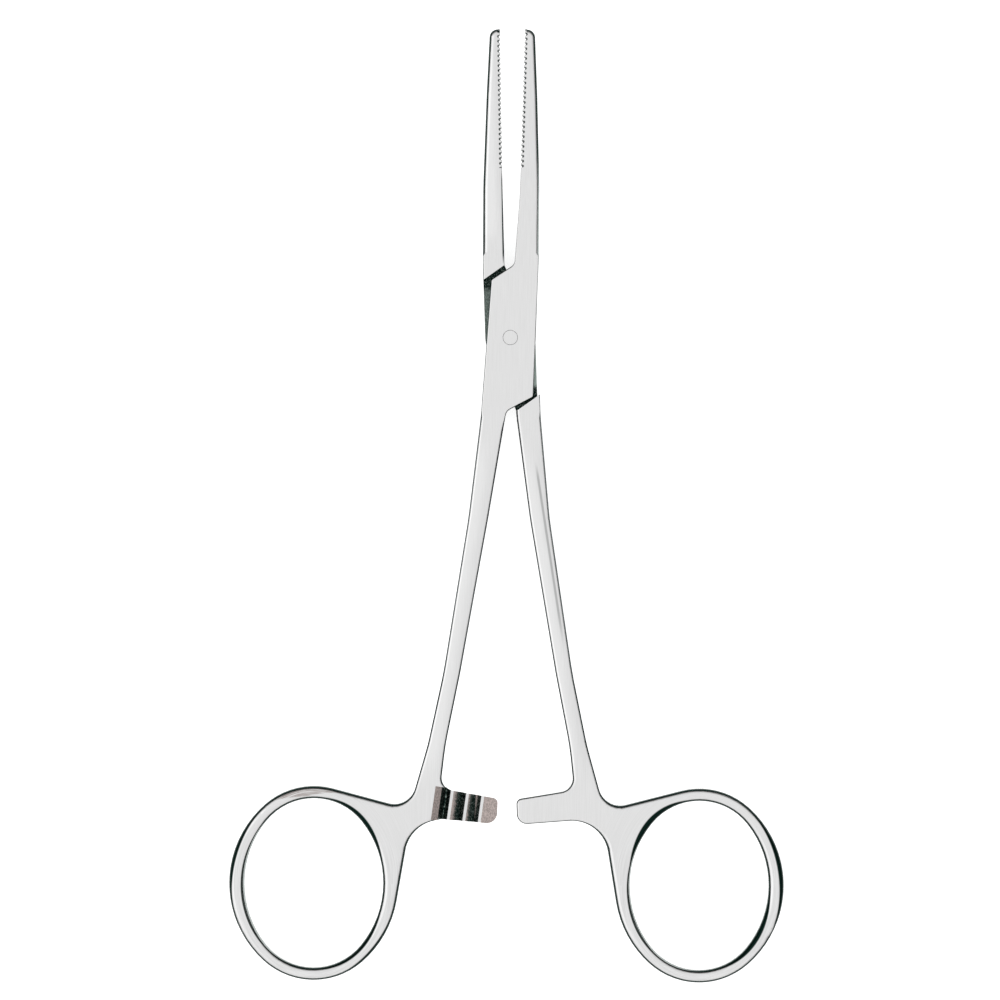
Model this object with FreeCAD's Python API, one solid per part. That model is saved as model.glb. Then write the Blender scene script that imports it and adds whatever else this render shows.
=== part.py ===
"""Straight haemostat forceps, 140 mm long, with half-serrated jaws, a box lock and a toothed ratchet.

Two forged halves cross at the box lock. The box half has a slot through its middle. The tongue of the
through half passes through that slot, and a rivet ground flush with both faces is the hinge pin. Each
half runs in one piece from its jaw, through the lock and the shank, to a finger ring and a ratchet bar.

Sizes are in millimetres and degrees. Both halves are drawn closed, with the pivot at the origin, the
tips along +Y and the middle plane at Z 0. The box half has its jaw at +X and its ring at -X. The through
half is drawn the same way and then mirrored. They are then opened about the pivot to the angle at which
the instrument lies, and lifted so that the back face of the box lock is at Z 0.
"""
import FreeCAD
import Part
import math
import os

from FreeCAD import Vector

# Pose, and lengths along the instrument, measured from the pivot with the jaws closed.
rest_opening = 4.6
tip_length = 45.45
ring_drop = 81.45
ring_offset = 25.1
ring_tilt = 2.3

# Jaw, in plan. The inner face is bowed, so that the tips meet first.
jaw_face_gap = 0.02
tip_width = 1.48
tip_outer_radius = 1.2
tip_inner_radius = 0.15
jaw_bow = 0.42
bow_place = 21.5
throat_gap = 0.15
jaw_quarter_width = 2.28
jaw_quarter_place = 36.2
jaw_middle_width = 3.25
jaw_middle_place = 22.5
jaw_base_width = 3.66
jaw_base_place = 11.5
jaw_bend_radius = 40.0
jaw_bow_radius = 60.0

# Serrations across the inner face of each jaw.
serration_pitch = 0.72
serration_depth = 0.32
serration_flat = 0.16
serration_start = 0.75
serrated_length = 20.4

# Box lock. The box is the slotted part, and the tongue is the thin waist that passes through it.
box_width = 7.56
box_thickness = 4.5
lock_end_place = 11.5
box_corner_radius = 0.45
box_lean = 0.6
box_jaw_reach = 8.38
box_jaw_angle = 35.8
box_shank_reach = 8.54
box_shank_angle = 30.3
throat_radius = 1.3
throat_bend_radius = 20.0
through_relief = 0.35
through_step = 0.3
tongue_thickness = 1.9
tongue_inset = 0.1
tongue_side_clearance = 0.12
tongue_face_clearance = 0.05
shoulder_gap = 0.15
shoulder_angle = 33.3
full_opening = 61.0

# Hinge rivet.
pin_radius = 1.1
pin_running_clearance = 0.04
pin_edge_chamfer = 0.05

# Shank, in plan. Each offset is that of its middle line.
shank_width = 2.5
shank_waist_width = 2.95
shank_foot_width = 2.62
shank_waist_offset = 3.45
shank_waist_place = 26.7
shank_middle_offset = 6.25
shank_middle_place = 49.5
shank_foot_offset = 8.0
shank_foot_place = 60.3
shank_bend_radius = 40.0
shank_shoulder_radius = 25.0

# Finger ring, an oval of four arcs, and the web that joins it to the shank.
ring_hole_width = 20.4
ring_hole_length = 24.9
ring_side_width = 2.24
ring_end_width = 1.82
oval_end_share = 0.88
web_outer_offset = 11.6
web_outer_place = 69.9
web_outer_radius = 3.2
web_inner_offset = 11.2
web_inner_radius = 5.4

# Ratchet bar, in plan.
crotch_offset = 7.15
crotch_place = 66.75
crotch_radius = 2.0
bar_reach = 1.37
bar_tip_place = 67.85
bar_root_width = 4.3
bar_tip_width = 3.75
bar_tip_upper_radius = 0.8
bar_tip_lower_radius = 1.5

# Ratchet teeth, in a section along the bar. Places run from the tip of the bar towards its root.
ratchet_lean = 5.4
crest_clearance = 0.05
tooth_count = 3
tooth_pitch = 2.28
tooth_depth = 0.68
tooth_land = 0.42
tooth_face_lean = 38.0
first_crest_place = 2.2
lead_in_drop = 0.42
gullet_length = 0.25
gullet_wall_angle = 70.0
ramp_angle = 32.0
ramp_length = 0.95

# Thickness along the instrument: flat at the lock, tapering to the tips and to the rings.
tip_thickness = 1.9
ring_thickness = 3.0
flat_end_place = 14.0
ring_taper_place = 63.7
thickness_bend_radius = 60.0

# Rounding of the ground edges.
face_edge_radius = 0.12
jaw_edge_radius = 0.75
lock_edge_radius = 0.22
shank_edge_radius = 0.52
ring_edge_radius = 0.8
bar_edge_radius = 0.35

# How far a cutting body stands out past what it cuts.
spare = 1.0
reach = 4.0 * box_width


def direction(angle):
    """Unit vector in plan, with the angle in degrees from +X."""
    return Vector(math.cos(math.radians(angle)), math.sin(math.radians(angle)), 0)


def bearing(vector):
    """Angle of a vector in plan, in degrees from +X."""
    return math.degrees(math.atan2(vector.y, vector.x))


def crossing(point_a, angle_a, point_b, angle_b):
    """Point where two straight lines in plan meet."""
    along_a, along_b = direction(angle_a), direction(angle_b)
    gap = point_b - point_a
    turn = along_a.x * along_b.y - along_a.y * along_b.x
    travel = (gap.x * along_b.y - gap.y * along_b.x) / turn
    return point_a + along_a * travel


def tangent_point(point, centre, radius, side):
    """Where a line from a point touches a circle that lies on its left (side 1) or its right (side -1)."""
    to_centre = centre - point
    half_angle = math.degrees(math.asin(radius / to_centre.Length))
    length = math.sqrt(to_centre.Length ** 2 - radius ** 2)
    return point + direction(bearing(to_centre) - side * half_angle) * length


def rounded_edges(corners):
    """Straight edges through the corners, with a tangent arc at each corner that has a radius.

    A corner is (point, radius). The first and last corners are the ends of the chain. An arc that its
    two sides have no room for is limited to the room that they leave.
    """
    edges, last = [], corners[0][0]
    for index in range(1, len(corners) - 1):
        point, radius = corners[index]
        before, after = corners[index - 1][0] - point, corners[index + 1][0] - point
        half_turn = (math.pi - before.getAngle(after)) / 2
        share = 0.49 if corners[index + 1][1] else 0.98
        room = min(0.98 * (last - point).Length, share * after.Length)
        setback = min(radius * math.tan(half_turn), room)
        before.normalize()
        after.normalize()
        start, end = point + before * setback, point + after * setback
        edges.append(Part.LineSegment(last, start).toShape())
        if radius:
            limited = setback / math.tan(half_turn)
            inward = before + after
            inward.normalize()
            middle = point + inward * (limited / math.cos(half_turn) - limited)
            edges.append(Part.Arc(start, middle, end).toShape())
        last = end
    edges.append(Part.LineSegment(last, corners[-1][0]).toShape())
    return edges


def prism(edges, bottom, top):
    """A solid on a closed chain of plan edges, between two heights."""
    face = Part.Face(Part.Wire(edges))
    face.translate(Vector(0, 0, bottom))
    return face.extrude(Vector(0, 0, top - bottom))


def polygon(points):
    """Closed chain of straight edges."""
    return Part.makePolygon(list(points) + [points[0]]).Edges


def both_ways(solid):
    """A solid joined with itself turned half round the pivot."""
    turned = solid.copy()
    turned.rotate(Vector(0, 0, 0), Vector(0, 0, 1), 180)
    return solid.fuse(turned)


class Oval:
    """A four-arc oval: two end arcs of one radius, joined by two side arcs of a larger one."""

    def __init__(self, centre, half_width, half_length, tilt):
        self.centre, self.tilt = centre, tilt
        self.half_width, self.half_length = half_width, half_length
        self.end_radius = oval_end_share * min(half_width, half_length)
        self.end_rise = half_length - self.end_radius
        self.side_radius = (self.end_rise ** 2 + half_width ** 2 - self.end_radius ** 2) / (
            2 * (half_width - self.end_radius))

    def at(self, across, along):
        """A point given on the oval's own axes."""
        return self.centre + direction(self.tilt) * across + direction(self.tilt + 90) * along

    def end_centre(self, end):
        return self.at(0, end * self.end_rise)

    def side_centre(self, side):
        return self.at(side * (self.half_width - self.side_radius), 0)

    def joint(self, side, end):
        """Where a side arc runs into an end arc."""
        outward = self.end_centre(end) - self.side_centre(side)
        outward.normalize()
        return self.end_centre(end) + outward * self.end_radius

    def arcs(self, right_start, top_end):
        """Edges clockwise from a point on the right side arc, round the bottom, to one on the top arc."""
        runs = [
            (self.side_centre(1), self.side_radius, right_start, self.joint(1, -1)),
            (self.end_centre(-1), self.end_radius, self.joint(1, -1), self.joint(-1, -1)),
            (self.side_centre(-1), self.side_radius, self.joint(-1, -1), self.joint(-1, 1)),
            (self.end_centre(1), self.end_radius, self.joint(-1, 1), top_end),
        ]
        edges = []
        for centre, radius, start, end in runs:
            middle = (start - centre) + (end - centre)
            middle.normalize()
            edges.append(Part.Arc(start, centre + middle * radius, end).toShape())
        return edges


def ring_ovals():
    """Outer edge and hole of the finger ring."""
    centre = Vector(-ring_offset, -ring_drop, 0)
    hole = Oval(centre, ring_hole_width / 2, ring_hole_length / 2, ring_tilt)
    outer = Oval(centre, hole.half_width + ring_side_width, hole.half_length + ring_end_width, ring_tilt)
    return outer, hole


def jaw_bow_point():
    """Where the inner face of the jaw stands furthest back."""
    return Vector(jaw_bow, bow_place, 0)


def jaw_tip_point():
    """Inner corner of the tip, before it is rounded."""
    return Vector(jaw_face_gap, tip_length, 0)


def throat_point(side, relief=0.0):
    """Where the inner face of the jaw (side 1) or of the shank (side -1) would reach the lock's end."""
    return Vector(side * (throat_gap + relief), side * lock_end_place, 0)


def jaw_corners():
    """The jaw, up its inner face, over the tip and down its outer edge."""
    return [
        (jaw_bow_point(), jaw_bow_radius),
        (jaw_tip_point(), tip_inner_radius),
        (Vector(tip_width + jaw_face_gap, tip_length, 0), tip_outer_radius),
        (Vector(jaw_quarter_width, jaw_quarter_place, 0), jaw_bend_radius),
        (Vector(jaw_middle_width, jaw_middle_place, 0), jaw_bend_radius),
        (Vector(jaw_base_width, jaw_base_place, 0), jaw_bend_radius),
    ]


def shank_corners(side):
    """The shank from its waist to its foot, on its outer side (1) or on the side of the other half (-1)."""
    places = [
        (shank_waist_offset, shank_waist_place, shank_waist_width),
        (shank_middle_offset, shank_middle_place, shank_width),
        (shank_foot_offset, shank_foot_place, shank_foot_width),
    ]
    return [(Vector(-offset - side * width / 2, -place, 0), shank_bend_radius)
            for offset, place, width in places]


def lock_end_corner(step=0.0):
    """Corner where the lock's outer edge bends into that of the shank."""
    return Vector(-box_width / 2 - step, -lock_end_place, 0), shank_shoulder_radius


def web_inner_point():
    """Corner between the lower edge of the ratchet bar and the ring."""
    return Vector(-web_inner_offset, -crotch_place - bar_root_width, 0)


def web_outer_point():
    """Corner between the outer edge of the shank and the ring."""
    return Vector(-web_outer_offset, -web_outer_place, 0)


def bar_corners():
    """Crotch, ratchet bar and the corner below the web."""
    return [
        (Vector(-crotch_offset, -crotch_place, 0), crotch_radius),
        (Vector(bar_reach, -bar_tip_place, 0), bar_tip_upper_radius),
        (Vector(bar_reach, -bar_tip_place - bar_tip_width, 0), bar_tip_lower_radius),
        (web_inner_point(), web_inner_radius),
    ]


def side_profile():
    """Side view of the front of a half, from the middle plane up, tapering from the lock to both ends."""
    tip_end = Vector(0, tip_length + spare, tip_thickness / 2)
    ring_end = Vector(0, -ring_drop - ring_hole_length, ring_thickness / 2)
    upper = [
        (tip_end, 0),
        (Vector(0, flat_end_place, box_thickness / 2), thickness_bend_radius),
        (Vector(0, -flat_end_place, box_thickness / 2), thickness_bend_radius),
        (Vector(0, -ring_taper_place, ring_thickness / 2), thickness_bend_radius),
        (ring_end, 0),
    ]
    below_ring, below_tip = Vector(0, ring_end.y, 0), Vector(0, tip_end.y, 0)
    return Part.Wire(rounded_edges(upper) + Part.makePolygon([ring_end, below_ring, below_tip, tip_end]).Edges)


def rim_radius(point):
    """Rounding of the ground edge at a point of the outline.

    It is sharp on the gripping face, and full on the jaw's back and the ring. Most straight runs keep one
    radius, and the bends between them lead from one radius to the next.
    """
    if point.y > box_jaw_reach and 0 < point.x < (tip_width + jaw_bow) / 2:
        return face_edge_radius
    if point.y < -crotch_place and point.x > -crotch_offset:
        return bar_edge_radius
    if point.y < -crotch_place and point.x < -web_inner_offset:
        return ring_edge_radius
    if point.y < -lock_end_place:
        return shank_edge_radius
    return jaw_edge_radius if point.y > jaw_base_place else lock_edge_radius


def is_upright(face):
    """True for a wall of the outline, whose normal lies in plan."""
    u_low, u_high, v_low, v_high = face.ParameterRange
    return abs(face.normalAt((u_low + u_high) / 2, (v_low + v_high) / 2).z) < 1e-4


def rounded_rims(solid, left_sharp):
    """The solid with the rim of its front rounded by rim_radius, apart from the edges left sharp."""
    walls = {edge.hashCode() for face in solid.Faces if is_upright(face) for edge in face.Edges}
    fronts = {edge.hashCode() for face in solid.Faces if not is_upright(face) for edge in face.Edges}
    document = FreeCAD.newDocument("rims")
    base = document.addObject("Part::Feature", "base")
    base.Shape = solid
    rows = []
    for index, edge in enumerate(solid.Edges, 1):
        start, end = edge.valueAt(edge.FirstParameter), edge.valueAt(edge.LastParameter)
        in_front = min(start.z, end.z) > tip_thickness / 4
        if in_front and edge.hashCode() in walls & fronts and not left_sharp(start, end):
            rows.append((index, rim_radius(start), rim_radius(end)))
    rounding = document.addObject("Part::Fillet", "rounding")
    rounding.Base = base
    rounding.Edges = rows
    document.recompute()
    rounded = rounding.Shape.copy()
    FreeCAD.closeDocument(document.Name)
    return rounded.Solids[0]


def forging(upper, lower, left_sharp):
    """A half before its lock is cut: the outline, made to the side profile, pierced and rounded.

    Upper and lower are the corners of the lock on the shank's outer side, up to the jaw's inner face, and
    on the jaw's outer side, down to the shank's inner face. The front is made first, from the middle plane
    up, and the back is its mirror image.
    """
    outer, hole = ring_ovals()
    top_touch = tangent_point(web_outer_point(), outer.end_centre(1), outer.end_radius, 1)
    side_touch = tangent_point(web_inner_point(), outer.side_centre(1), outer.side_radius, -1)
    outline = [(top_touch, 0), (web_outer_point(), web_outer_radius)]
    outline += reversed(shank_corners(1))
    outline += upper + jaw_corners() + lower
    outline += shank_corners(-1) + bar_corners() + [(side_touch, 0)]
    plan = prism(rounded_edges(outline) + outer.arcs(side_touch, top_touch), -box_thickness, box_thickness)
    pierced = hole.arcs(hole.joint(1, 1), hole.joint(1, 1))
    plan = plan.cut(prism(pierced, -2 * box_thickness, 2 * box_thickness))
    section = Part.Face(side_profile())
    section.translate(Vector(-reach - ring_offset, 0, 0))
    shaped = plan.common(section.extrude(Vector(2 * (reach + ring_offset), 0, 0)))
    front = rounded_rims(shaped.Solids[0], left_sharp)
    return front.fuse(front.mirror(Vector(0, 0, 0), Vector(0, 0, 1))).removeSplitter()


def box_forging():
    """Box half, with the slanted ends of the box and the filed throats beyond them."""
    top = Vector(-box_width / 2 + box_lean, box_jaw_reach, 0)
    bottom = Vector(box_width / 2, -box_shank_reach, 0)
    jaw_line = bearing(jaw_bow_point() - throat_point(1))
    shank_line = bearing(shank_corners(-1)[0][0] - throat_point(-1))
    top_inner = crossing(top, box_jaw_angle, throat_point(1), jaw_line)
    bottom_inner = crossing(bottom, box_shank_angle, throat_point(-1), shank_line)
    upper = [lock_end_corner(), (top, box_corner_radius), (top_inner, throat_radius)]
    lower = [(bottom, box_corner_radius), (bottom_inner, throat_radius)]
    return forging(upper, lower, lambda start, end: False)


def through_forging():
    """Through half, drawn in the place of the box half, with its jaw and shank run on into the lock."""
    overlap = box_jaw_reach / 4
    jaw_throat, shank_throat = throat_point(1, through_relief), throat_point(-1, through_relief)
    shank_side, jaw_side = lock_end_corner(through_step)[0].x, box_width / 2
    upper = [lock_end_corner(through_step), (Vector(shank_side, overlap, 0), 0)]
    upper += [(Vector(jaw_throat.x, overlap, 0), 0), (jaw_throat, throat_bend_radius)]
    lower = [(Vector(jaw_side, -overlap, 0), 0), (Vector(shank_throat.x, -overlap, 0), 0)]
    lower.append((shank_throat, throat_bend_radius))
    return forging(upper, lower, lambda start, end: abs(start.y) < 2 * overlap and abs(end.y) < 2 * overlap)


def shoulder_place(end_reach, across):
    """How far from the pivot the through half's shoulder lies, at a distance in from its outer edge."""
    return end_reach + shoulder_gap + across * math.tan(math.radians(shoulder_angle))


def tongue_line():
    """Direction from the pivot to where the inner edge of the tongue touches the waist circle."""
    inner_side = throat_point(1, through_relief).x
    inner_end = Vector(-inner_side, shoulder_place(box_jaw_reach, box_width / 2 - inner_side), 0)
    return bearing(tangent_point(inner_end, Vector(0, 0, 0), box_width / 2 - tongue_inset, -1))


def arm(closed_angle, open_angle, radius, length):
    """Plan of the waist and one arm, between two lines that touch the waist circle at the given angles."""
    start = direction(closed_angle) * radius
    end = direction(open_angle) * radius
    far_start = start + direction(closed_angle + 90) * length
    far_end = end + direction(open_angle - 90) * length
    return polygon([Vector(0, 0, 0), start, far_start, far_end, end])


def lock_strip():
    """The region between the two shoulders of the through half, over its whole thickness."""
    corners = []
    for side, end_reach in ((1, box_jaw_reach), (-1, box_shank_reach)):
        for across in (box_width / 2 - reach, box_width / 2 + reach):
            place = shoulder_place(end_reach, across)
            corners.append(Vector(side * (across - box_width / 2), side * place, 0))
    return prism(polygon(corners), -box_thickness, box_thickness)


def tongue():
    """The thin waist of the through half, with an arm to each of its two shoulders."""
    waist_radius = box_width / 2 - tongue_inset
    height = tongue_thickness / 2
    waist = Part.makeCylinder(waist_radius, tongue_thickness, Vector(0, 0, -height))
    one_arm = prism(arm(tongue_line(), 180, waist_radius, lock_end_place + spare), -height, height)
    return waist.fuse(both_ways(one_arm)).common(lock_strip())


def slot():
    """What the tongue sweeps through the box from closed to fully open, with its clearances."""
    slot_radius = box_width / 2 - tongue_inset + tongue_side_clearance
    height = tongue_thickness / 2 + tongue_face_clearance
    waist = Part.makeCylinder(slot_radius, 2 * height, Vector(0, 0, -height))
    one_arm = prism(arm(tongue_line(), 180 + full_opening, slot_radius, reach), -height, height)
    return waist.fuse(both_ways(one_arm))


def pin_hole(radius):
    """Bore for the rivet."""
    return Part.makeCylinder(radius, 2 * box_thickness, Vector(0, 0, -box_thickness))


def serrations(start):
    """V grooves across the gripping face of the jaw at +X, the first at a distance from the tip."""
    tip, bow = jaw_tip_point(), jaw_bow_point()
    along = bow - tip
    along.normalize()
    inward = Vector(-along.y, along.x, 0)
    half_width = (serration_pitch - serration_flat) / 2
    mouth = half_width * (1 + spare / serration_depth)
    count = int((serrated_length - start) / serration_pitch) + 1
    grooves = []
    for index in range(count):
        place = tip + along * (start + index * serration_pitch)
        corners = [
            place + inward * serration_depth,
            place - inward * spare + along * mouth,
            place - inward * spare - along * mouth,
        ]
        grooves.append(prism(polygon(corners), -box_thickness, box_thickness))
    return grooves


def tooth_profile():
    """Top of the ratchet bar in section, as (place from the tip, height) corners."""
    crest = -crest_clearance
    face_run = tooth_depth * math.tan(math.radians(tooth_face_lean))
    corners = [(0, crest - lead_in_drop)]
    for index in range(tooth_count):
        place = first_crest_place + index * tooth_pitch
        corners += [(place, crest), (place + tooth_land, crest)]
        corners.append((place + tooth_land + face_run, crest - tooth_depth))
    floor = crest - tooth_depth
    floor_end = corners[-1][0] + gullet_length
    ramp_rise = ramp_length * math.tan(math.radians(ramp_angle))
    ramp_start = ring_thickness / 2 - ramp_rise
    wall_end = floor_end + (ramp_start - floor) / math.tan(math.radians(gullet_wall_angle))
    top = box_thickness / 2
    ramp_end = wall_end + ramp_length * (top - ramp_start) / ramp_rise
    return corners + [(floor_end, floor), (wall_end, ramp_start), (ramp_end, top)]


def ratchet_cutter():
    """What is milled off the face of the bar to leave the teeth, in the place of the box half's bar."""
    profile = tooth_profile()
    first, last = profile[0], profile[-1]
    section = [(first[0] - spare, first[1])] + profile + [(first[0] - spare, last[1])]
    half_width = bar_root_width / 2 + bar_edge_radius
    face = Part.Face(Part.makePolygon([Vector(-place, -half_width, height) for place, height in section]
                                      + [Vector(spare - first[0], -half_width, first[1])]))
    cutter = face.extrude(Vector(0, 2 * half_width, 0))
    cutter.rotate(Vector(0, 0, 0), Vector(0, 0, 1), -ratchet_lean)
    cutter.translate(Vector(bar_reach, -bar_tip_place - bar_tip_width / 2, 0))
    return cutter


def box_half():
    """The half with the slotted box, its ratchet teeth facing up."""
    solid = box_forging().cut(slot())
    solid = solid.cut(pin_hole(pin_radius))
    solid = solid.cut(ratchet_cutter())
    return solid.cut(serrations(serration_start))


def through_half():
    """The half whose tongue passes through the box, its ratchet teeth facing down."""
    solid = through_forging()
    cutter = ratchet_cutter().mirror(Vector(0, 0, 0), Vector(0, 0, 1))
    solid = solid.cut(cutter)
    solid = solid.cut(serrations(serration_start + serration_pitch / 2))
    solid = solid.mirror(Vector(0, 0, 0), Vector(1, 0, 0))
    solid = solid.cut(lock_strip()).fuse(tongue())
    return solid.cut(pin_hole(pin_radius + pin_running_clearance))


def pivot_pin():
    """The hinge rivet, flush with both faces of the box, with a hairline chamfer at its ends."""
    pin = Part.makeCylinder(pin_radius, box_thickness, Vector(0, 0, -box_thickness / 2))
    rims = [edge for edge in pin.Edges if edge.isClosed()]
    return pin.makeChamfer(pin_edge_chamfer, rims)


def export(name, solid, turn):
    """Open a piece about the pivot, lift it on to the back face of the lock and write it out."""
    placed = solid.Solids[0].copy()
    placed.rotate(Vector(0, 0, 0), Vector(0, 0, 1), turn)
    placed.translate(Vector(0, 0, box_thickness / 2))
    print(name, placed.isValid(), placed.ShapeType, len(placed.Solids), round(placed.Volume, 3))
    placed.exportStep(os.path.join("parts", name + ".step"))


os.makedirs("parts", exist_ok=True)
export("box_half", box_half(), -rest_opening / 2)
export("through_half", through_half(), rest_opening / 2)
export("pivot_pin", pivot_pin(), -rest_opening / 2)
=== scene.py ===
"""Looks of the haemostat forceps: ground and milled stainless steel, with painted reflections and painted
shade in its colours, on a white table.

The file is laid out as an add-on. Lengths are typed in millimetres and kept in metres. The frame has the
rivet at its origin, Y towards the tips and Z up. A half also has axes of its own, which turn with it:
across to the side of its jaw, and along towards the tips.
"""
import math

import bpy
import bmesh
import numpy as np
from bpy.props import FloatProperty, FloatVectorProperty, PointerProperty
from mathutils import Matrix, Vector


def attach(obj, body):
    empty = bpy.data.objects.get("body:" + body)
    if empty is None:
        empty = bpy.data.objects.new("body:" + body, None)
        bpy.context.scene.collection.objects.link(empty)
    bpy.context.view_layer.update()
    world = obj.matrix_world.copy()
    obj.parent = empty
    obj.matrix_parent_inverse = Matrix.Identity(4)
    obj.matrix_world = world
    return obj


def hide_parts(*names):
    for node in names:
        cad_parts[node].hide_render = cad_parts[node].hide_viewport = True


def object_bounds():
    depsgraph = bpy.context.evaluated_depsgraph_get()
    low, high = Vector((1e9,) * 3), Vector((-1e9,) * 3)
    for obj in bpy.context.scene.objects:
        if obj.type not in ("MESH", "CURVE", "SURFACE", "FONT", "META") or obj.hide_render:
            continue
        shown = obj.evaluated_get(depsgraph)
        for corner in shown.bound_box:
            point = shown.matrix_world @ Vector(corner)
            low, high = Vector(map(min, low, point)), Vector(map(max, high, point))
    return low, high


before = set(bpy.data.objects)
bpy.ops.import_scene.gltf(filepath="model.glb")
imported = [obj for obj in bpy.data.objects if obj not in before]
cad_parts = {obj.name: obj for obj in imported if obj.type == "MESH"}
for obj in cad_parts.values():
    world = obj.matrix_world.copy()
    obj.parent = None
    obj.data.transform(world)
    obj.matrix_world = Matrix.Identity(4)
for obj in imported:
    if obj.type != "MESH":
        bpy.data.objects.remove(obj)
CAD_BOX = [list(corner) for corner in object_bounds()]
MID_HEIGHT = (CAD_BOX[0][2] + CAD_BOX[1][2]) / 2

bl_info = {
    "name": "Haemostat forceps",
    "version": (1, 0, 0),
    "blender": (4, 5, 0),
    "location": "View3D > Sidebar > Forceps",
    "description": "Dresses the two halves and the rivet of a box lock forceps, and sets the table",
    "category": "Object",
}

MM = 0.001
SMOOTH = {"interpolation_type": "SMOOTHSTEP"}
OWN_AXES = "own_axes"
MERGE_WITHIN = 0.002 * MM
FLAT_WITHIN = math.radians(0.3)
SHARP_FROM = math.radians(28)
SENSOR_WIDTH = 36.0
CUT_ROUGHNESS = 0.45

# Crescents on the rings' rims: a painted dark reflection where a rim would be rounded further, a brown
# stain, and a painted lighter reflection. For each side, -1 or 1, come those along the hole and those along
# the outside, as (direction in degrees, depth in millimetres, power of the cosine that narrows them).
SHADED_RIMS = ((-1, ((48, 0.8, 5), (-50, 0.6, 4), (188, 0.62, 2)), ((160, 0.7, 4), (-42, 0.6, 6))),
             (1, ((136, 0.95, 5), (-38, 0.75, 4), (200, 0.62, 2)), ((14, 0.85, 3),)))
STAINED_RIMS = ((-1, (), ((97, 1.3, 14),)),)
LIT_RIMS = ((-1, ((188, 0.4, 2),), ()), (1, ((204, 0.4, 2),), ()))


def linear(code):
    """A six digit sRGB hex colour as linear RGBA."""
    channels = [int(code[place:place + 2], 16) / 255 for place in (1, 3, 5)]
    return [value / 12.92 if value <= 0.04045 else ((value + 0.055) / 1.055) ** 2.4
            for value in channels] + [1]


def colour(name, description, code):
    """A colour setting with a hex default."""
    return FloatVectorProperty(name=name, description=description, subtype="COLOR", size=4, min=0, max=1,
                               default=linear(code))


def length(name, description, millimetres):
    """A length setting, given in millimetres and kept in metres."""
    return FloatProperty(name=name, description=description, default=millimetres * MM, unit="LENGTH",
                         precision=5)


def angle(name, description, degrees):
    """An angle setting, given in degrees and kept in radians."""
    return FloatProperty(name=name, description=description, default=math.radians(degrees), unit="ROTATION")


class ForcepsSizes(bpy.types.PropertyGroup):
    """Sizes that the finishes are worked out from."""

    rest_opening: angle("Rest opening", "Angle between the halves as they lie", 4.6)
    lock_half_length: length("Lock half length", "From the rivet to the end of the lock", 12.6)
    lock_half_width: length("Lock half width", "From the rivet to the side of the lock", 4.2)
    tongue_half_height: length("Tongue half height", "Half the thickness of the milled slot", 1.02)
    shank_lean: FloatProperty(name="Shank lean", description="Slope of a shank's middle line, outwards",
                              default=0.118)
    bar_top: length("Top of the bar", "How far below the rivet the ratchet bar starts", 66.9)
    bar_length: length("Bar width", "Width of the ratchet bar", 5.6)
    bar_root: length("Root of the bar", "From the middle to where the toothed part starts", 8.2)
    bar_cut_below: length("Cut depth", "How far above the middle the teeth are cut into the bar", 1.46)
    tooth_depth: length("Tooth depth", "Depth of the ratchet teeth", 0.68)
    last_crest: length("Last crest", "From the middle to the tooth next to the tip of the bar", 1.8)
    ring_side: length("Ring to the side", "From the rivet to the middle of a finger ring, across", 28.35)
    ring_below: length("Ring below", "From the rivet to the middle of a finger ring, along", 80.4)
    hole_half_width: length("Hole half width", "Half the width of the hole of a finger ring", 10.2)
    hole_half_length: length("Hole half length", "Half the length of the hole of a finger ring", 12.45)
    ring_half_width: length("Ring half width", "Half the width of a finger ring outside", 12.44)
    ring_half_length: length("Ring half length", "Half the length of a finger ring outside", 14.27)
    jaw_reach: length("Jaw reach", "From the rivet to the tips", 45.45)
    serrated_from: length("Serrations", "How far above the rivet the serrations start", 24.9)
    serration_start: length("First serration", "From the tips to the root of the first serration", 0.75)
    serration_pitch: length("Serration pitch", "From one serration to the next", 0.72)
    serration_depth: length("Serration depth", "From the jaw's face to the root of a serration", 0.32)
    jaw_hollow: length("Jaw hollow", "How far the jaws bow apart at the end of the serrations", 0.42)
    jaw_hollow_at: length("Place of the hollow", "How far above the rivet the jaws bow apart most", 21.5)
    edge_break: length("Edge break", "Width of the broken edge along the teeth and the lock", 0.06)
    grain_width: length("Grain width", "Width of one scratch of the satin grinding", 0.09)
    grain_length: length("Grain length", "Length of one scratch of the satin grinding", 5.0)


class ForcepsColours(bpy.types.PropertyGroup):
    """Colours of the steel in its different finishes."""

    ground: colour("Ground steel", "Flat faces, ground satin", "#F6F6F6")
    # Painted reflection: a dark green-black on the rounded edges, standing for the dark surroundings they
    # reflect.
    dark_rim_reflection: colour("Tumbled edge", "Rounded edges, which the tumbling leaves dark and glossy", "#0E231E")
    # Painted reflection: a lighter grey on the shank edges and in a line along the right shank.
    polished: colour("Polished edge", "Edges of the shanks, polished lighter by the hand", "#5C6160")
    # Painted reflection: a lighter grey on parts of the rings' rims and at the foot of the right jaw's edge.
    light_rim_reflection: colour("Bare edge", "Edges of the rings and the right jaw that are rubbed lighter", "#9AA09E")
    # Painted shade: a grey on the side walls, given for their facing sideways.
    side: colour("Side wall", "Side walls, linished less than the faces", "#A9AEAC")
    # Painted shade: the near-black of the lock's slots, the serration grooves and the foot of the tooth
    # ramps.
    milled: colour("Milled steel", "Inside of the lock, left as milled", "#0B1D18")
    flecks: colour("Milled flecks", "Tool marks that catch the light inside the lock", "#A3B0AA")
    # Painted reflection: the brown of the tooth ramps; the same colour tints the stain on the left ring.
    tooth: colour("Tooth ramp", "Ramps of the ratchet teeth, stained brown by the cutter", "#A79C98")


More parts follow.
